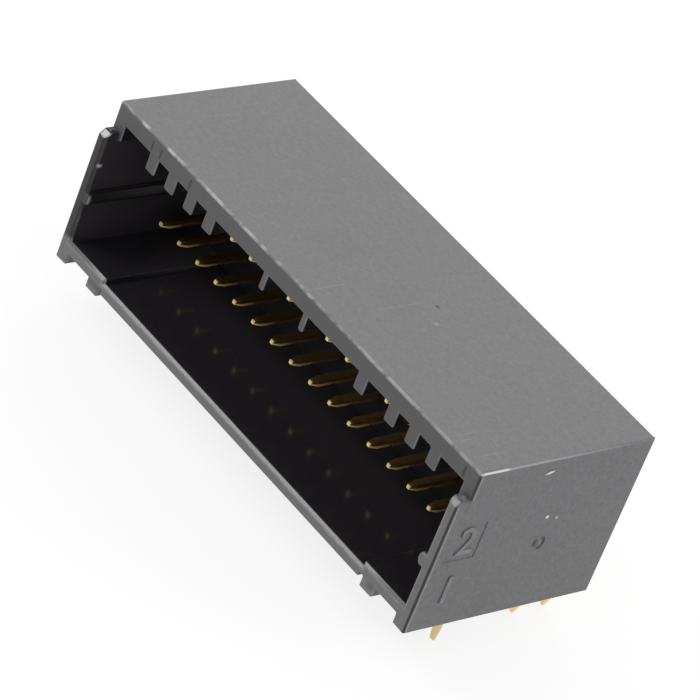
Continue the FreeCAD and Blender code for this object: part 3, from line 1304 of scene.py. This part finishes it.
@dataclass
class ContactRow:
    """One row of bent square contacts, grown along their path and set out at the pitch."""

    row: Row
    height: float
    tail_y: float
    count: int = FORM.contacts
    pitch: float = FORM.pitch
    width: float = FORM.wire
    corner: float = 0.05
    corner_steps: int = 2
    tip_y: float = FORM.tip_y
    tip_length: float = FORM.tip_length
    tip_flat: float = FORM.tip_flat
    bend: float = 0.92
    bend_steps: int = 9
    tail_end: float = FORM.tail_end
    tail_point: float = 0.7
    tail_flat: float = 0.26

    def nodes(self) -> list[str]:
        """Names of the CAD nodes that the row stands for."""
        return [f"contact_{self.row.value}{index + 1:02d}" for index in range(self.count)]

    def tree(self, material: bpy.types.Material) -> bpy.types.NodeTree:
        """Make the node tree that grows the row.

        Args:
            material: the contacts' metal.

        Returns:
            A tree with named inputs for the row's sizes.
        """
        tree = bpy.data.node_groups.new("contact_row", "GeometryNodeTree")
        face = tree.interface
        face.new_socket("Geometry", in_out="OUTPUT", socket_type="NodeSocketGeometry")
        sizes = ("Pitch", "Width", "Corner", "Tip share", "Tail share", "Bend radius")
        for kind, names in (
            ("NodeSocketGeometry", ("Geometry",)),
            ("NodeSocketInt", ("Contacts",)),
            ("NodeSocketFloat", sizes),
            ("NodeSocketVector", PATH),
        ):
            for name in names:
                face.new_socket(name, in_out="INPUT", socket_type=kind)
        given = add_node(tree, "NodeGroupInput").outputs
        copies = add_node(
            tree,
            "GeometryNodeInstanceOnPoints",
            inputs={"Points": self.places(tree, given), "Instance": self.contact(tree, given)},
        )
        real = add_node(tree, "GeometryNodeRealizeInstances", inputs={"Geometry": copies})
        dressed = {"Geometry": real, "Material": material}
        metal = add_node(tree, "GeometryNodeSetMaterial", inputs=dressed)
        add_node(tree, "NodeGroupOutput", inputs={"Geometry": metal})
        return tree

    def contact(
        self, tree: bpy.types.NodeTree, given: bpy.types.NodeOutputs
    ) -> bpy.types.Node:
        """Add the nodes that grow one contact along its path.

        Args:
            tree: the row's tree.
            given: the tree's named inputs.

        Returns:
            The node that gives the contact, with its path in the plane x = 0.
        """
        curve = self.tapered(tree, given, self.path(tree, given))
        side = given["Width"]
        square = add_node(
            tree, "GeometryNodeCurvePrimitiveQuadrilateral", inputs={"Width": side, "Height": side}
        )
        section = self.fillet(tree, square, given["Corner"], self.corner_steps)
        profile = {"Curve": curve, "Profile Curve": section, "Fill Caps": True}
        wire = add_node(tree, "GeometryNodeCurveToMesh", inputs=profile)
        if "Scale" in wire.inputs:
            radius = add_node(tree, "GeometryNodeInputRadius")
            tree.links.new(radius.outputs[0], wire.inputs["Scale"])
        return wire

    def path(self, tree: bpy.types.NodeTree, given: bpy.types.NodeOutputs) -> bpy.types.Node:
        """Add the nodes that lead a curve through the path's corners, rounded at the elbow.

        Args:
            tree: the row's tree.
            given: the tree's named inputs.

        Returns:
            The node that gives the curve.
        """
        line = add_node(tree, "GeometryNodeMeshLine", inputs={"Count": len(PATH)})
        index = add_node(tree, "GeometryNodeInputIndex")
        choice = add_node(
            tree, "GeometryNodeIndexSwitch", {"data_type": "VECTOR"}, {"Index": index}
        )
        while len(choice.index_switch_items) < len(PATH):
            choice.index_switch_items.new()
        for number, name in enumerate(PATH):
            tree.links.new(given[name], choice.inputs[number + 1])
        at_corners = {"Geometry": line, "Position": choice}
        placed = add_node(tree, "GeometryNodeSetPosition", inputs=at_corners)
        curve = add_node(tree, "GeometryNodeMeshToCurve", inputs={"Mesh": placed})
        elbow = add_node(
            tree,
            "FunctionNodeCompare",
            {"data_type": "INT", "operation": "EQUAL"},
            {2: index, 3: PATH.index("Elbow")},
        )
        radius = self.maths(tree, "MULTIPLY", elbow, given["Bend radius"])
        return self.fillet(tree, curve, radius, self.bend_steps)

    def tapered(
        self, tree: bpy.types.NodeTree, given: bpy.types.NodeOutputs, curve: bpy.types.Node
    ) -> bpy.types.Node:
        """Add the nodes that thin a curve at its two ends.

        Args:
            tree: the row's tree.
            given: the tree's named inputs.
            curve: the node that gives the curve.

        Returns:
            The node that gives the thinned curve.
        """
        curve = add_node(
            tree, "GeometryNodeSetCurveRadius", inputs={"Curve": curve, "Radius": 1.0}
        )
        for at_start, share in ((1, "Tip share"), (0, "Tail share")):
            end = add_node(
                tree,
                "GeometryNodeCurveEndpointSelection",
                inputs={"Start Size": at_start, "End Size": 1 - at_start},
            )
            curve = add_node(
                tree,
                "GeometryNodeSetCurveRadius",
                inputs={"Curve": curve, "Selection": end, "Radius": given[share]},
            )
        return curve

    def places(self, tree: bpy.types.NodeTree, given: bpy.types.NodeOutputs) -> bpy.types.Node:
        """Add the nodes that set out points at the pitch, about the middle.

        Args:
            tree: the row's tree.
            given: the tree's named inputs.

        Returns:
            The node that gives the points.
        """
        gaps = self.maths(tree, "SUBTRACT", given["Contacts"], 1.0)
        span = self.maths(tree, "MULTIPLY", gaps, given["Pitch"])
        half = self.maths(tree, "MULTIPLY", span, -0.5)
        start = add_node(tree, "ShaderNodeCombineXYZ", inputs={"X": half})
        step = add_node(tree, "ShaderNodeCombineXYZ", inputs={"X": given["Pitch"]})
        return add_node(
            tree,
            "GeometryNodeMeshLine",
            inputs={"Count": given["Contacts"], "Start Location": start, "Offset": step},
        )

    @staticmethod
    def maths(
        tree: bpy.types.NodeTree, operation: str, first: object, second: object
    ) -> bpy.types.Node:
        """Add a Math node."""
        return add_node(tree, "ShaderNodeMath", {"operation": operation}, {0: first, 1: second})

    @staticmethod
    def fillet(
        tree: bpy.types.NodeTree, curve: bpy.types.Node, radius: object, steps: int
    ) -> bpy.types.Node:
        """Add a node that rounds a curve's corners in a number of straight steps."""
        inputs = {"Curve": curve, "Count": steps, "Radius": radius}
        return add_node(tree, "GeometryNodeFilletCurve", {"mode": "POLY"}, inputs)

    def sizes(self) -> dict[str, int | float | Vector]:
        """Work out the values of the tree's inputs.

        Returns:
            The values by name, in metres where they are lengths.
        """
        corners = (
            (self.tip_y, self.height),
            (self.tip_y + self.tip_length, self.height),
            (self.tail_y, self.height),
            (self.tail_y, self.tail_end + self.tail_point),
            (self.tail_y, self.tail_end),
        )
        return {
            "Contacts": self.count,
            "Pitch": self.pitch * MM,
            "Width": self.width * MM,
            "Corner": self.corner * MM,
            "Tip share": self.tip_flat / self.width,
            "Tail share": self.tail_flat / self.width,
            "Bend radius": self.bend * MM,
            **{name: Vector((0, *corner)) * MM for name, corner in zip(PATH, corners)},
        }

    def build(self, material: bpy.types.Material) -> None:
        """Make the row's piece.

        Args:
            material: the contacts' metal.
        """
        name = f"contacts_{self.row.name.lower()}_row"
        obj = add_object(name, bpy.data.meshes.new(name))
        grow = obj.modifiers.new("row", "NODES")
        grow.node_group = self.tree(material)
        sizes = self.sizes()
        for item in grow.node_group.interface.items_tree:
            if item.in_out == "INPUT" and item.name in sizes:
                grow[item.identifier] = sizes[item.name]
        bake_modifiers(obj)
        work = bmesh.new()
        work.from_mesh(obj.data)
        bmesh.ops.recalc_face_normals(work, faces=work.faces)
        work.to_mesh(obj.data)
        work.free()
        finish_piece(obj, self.nodes())


@dataclass
class HoldDown:
    """Flat board leg at one end."""

    side: Side
    edge: float = 0.06

    def build(self, material: bpy.types.Material) -> None:
        """Make the leg's piece.

        Args:
            material: its metal.
        """
        side = self.side.name.lower()
        node = f"hold_down_{side}"
        leg = add_mesh(f"board_leg_{side}", merged_copy(node), material)
        soften_edges(leg, self.edge)
        smooth_rounded(leg)
        finish_piece(leg, [node])


@dataclass(frozen=True)
class Softbox:
    """Square light that faces the header, with its place in millimetres."""

    name: str
    place: Triple
    side_in_metres: float
    watts: float

    def hang(self) -> None:
        """Put the light in the scene."""
        data = bpy.data.lights.new(self.name, "AREA")
        data.size = self.side_in_metres
        data.energy = self.watts
        lamp = add_object(self.name, data)
        lamp.location = Vector(self.place) * MM
        lamp.rotation_euler = lamp.location.to_track_quat("Z", "Y").to_euler()


@dataclass
class Studio:
    """Pale floor, soft lights and the camera."""

    floor_z: float = FORM.tail_end - 0.01
    floor_half_in_metres: float = 3.0
    room_fill: float = 0.8
    softboxes: tuple[Softbox, ...] = (
        Softbox("back_left", (-330, 389, 321), 0.5, 1.05),
        Softbox("front_left", (-230, -230, 271), 0.16, 0.5),
        Softbox("right", (297, 290, 173), 0.22, 0.9),
    )
    eye: Triple = (181.545, -220.58, 183.396)
    right: Triple = (0.578791, 0.751643, 0.316280)
    up: Triple = (-0.604701, 0.135384, 0.784862)
    lens: float = 225.34
    sensor: float = 36.0
    sight_in_metres: Pair = (0.01, 20.0)

    def build(self) -> None:
        """Make everything that isn't the header."""
        self.add_floor()
        self.add_world()
        for softbox in self.softboxes:
            softbox.hang()
        self.add_camera()

    def add_floor(self) -> None:
        """Lay the floor under the tails."""
        work = bmesh.new()
        bmesh.ops.create_grid(work, x_segments=2, y_segments=2, size=self.floor_half_in_metres)
        bmesh.ops.translate(work, verts=work.verts, vec=(0, 0, self.floor_z * MM))
        add_mesh("floor", mesh_from("floor", work), FloorFinish().build())

    def add_world(self) -> None:
        """Give the world a soft fill that the camera and reflections see as white."""
        world = bpy.data.worlds.new("soft_room")
        bpy.context.scene.world = world
        world.use_nodes = True
        tree = world.node_tree
        tree.nodes.clear()
        path = add_node(tree, "ShaderNodeLightPath")
        seen = path.outputs[WHITE_RAYS[0]]
        for ray in WHITE_RAYS[1:]:
            either = {0: seen, 1: path.outputs[ray]}
            seen = add_node(tree, "ShaderNodeMath", {"operation": "MAXIMUM"}, either).outputs[0]
        levels = {"To Min": self.room_fill, "To Max": 1.0, "Value": seen}
        strength = add_node(tree, "ShaderNodeMapRange", inputs=levels)
        light = {"Color": colour(1.0, 1.0, 1.0), "Strength": strength}
        background = add_node(tree, "ShaderNodeBackground", inputs=light)
        add_node(tree, "ShaderNodeOutputWorld", inputs={0: background})

    def add_camera(self) -> None:
        """Set the camera where the photograph was taken from."""
        data = bpy.data.cameras.new("camera")
        data.sensor_width = self.sensor
        data.lens = self.lens
        data.clip_start, data.clip_end = self.sight_in_metres
        camera = add_object("camera", data)
        right, up = Vector(self.right), Vector(self.up)
        back = right.cross(up).normalized()
        turn = Matrix((right, up, back)).transposed().to_4x4()
        camera.matrix_world = Matrix.Translation(Vector(self.eye) * MM) @ turn
        bpy.context.scene.camera = camera
        bpy.context.scene.view_settings.view_transform = "Standard"


def main() -> None:
    """Build the header's pieces and the studio, in order."""
    plastic = MouldingFinish().build()
    gold = GoldFinish(sheared_before=FORM.tip_y + 0.1).build()
    strip = GoldFinish(
        name="plated_strip",
        bright=colour(0.72, 0.56, 0.31),
        dull=colour(0.52, 0.37, 0.18),
        roughness=0.34,
    ).build()
    Shroud().build(plastic)
    ContactRow(Row.LOWER, FORM.lower_row, -FORM.tail_y).build(gold)
    ContactRow(Row.UPPER, FORM.lower_row + FORM.row_spacing, FORM.tail_y).build(gold)
    for side in Side:
        HoldDown(side).build(strip)
    Studio().build()


if __name__ == "__main__":
    main()
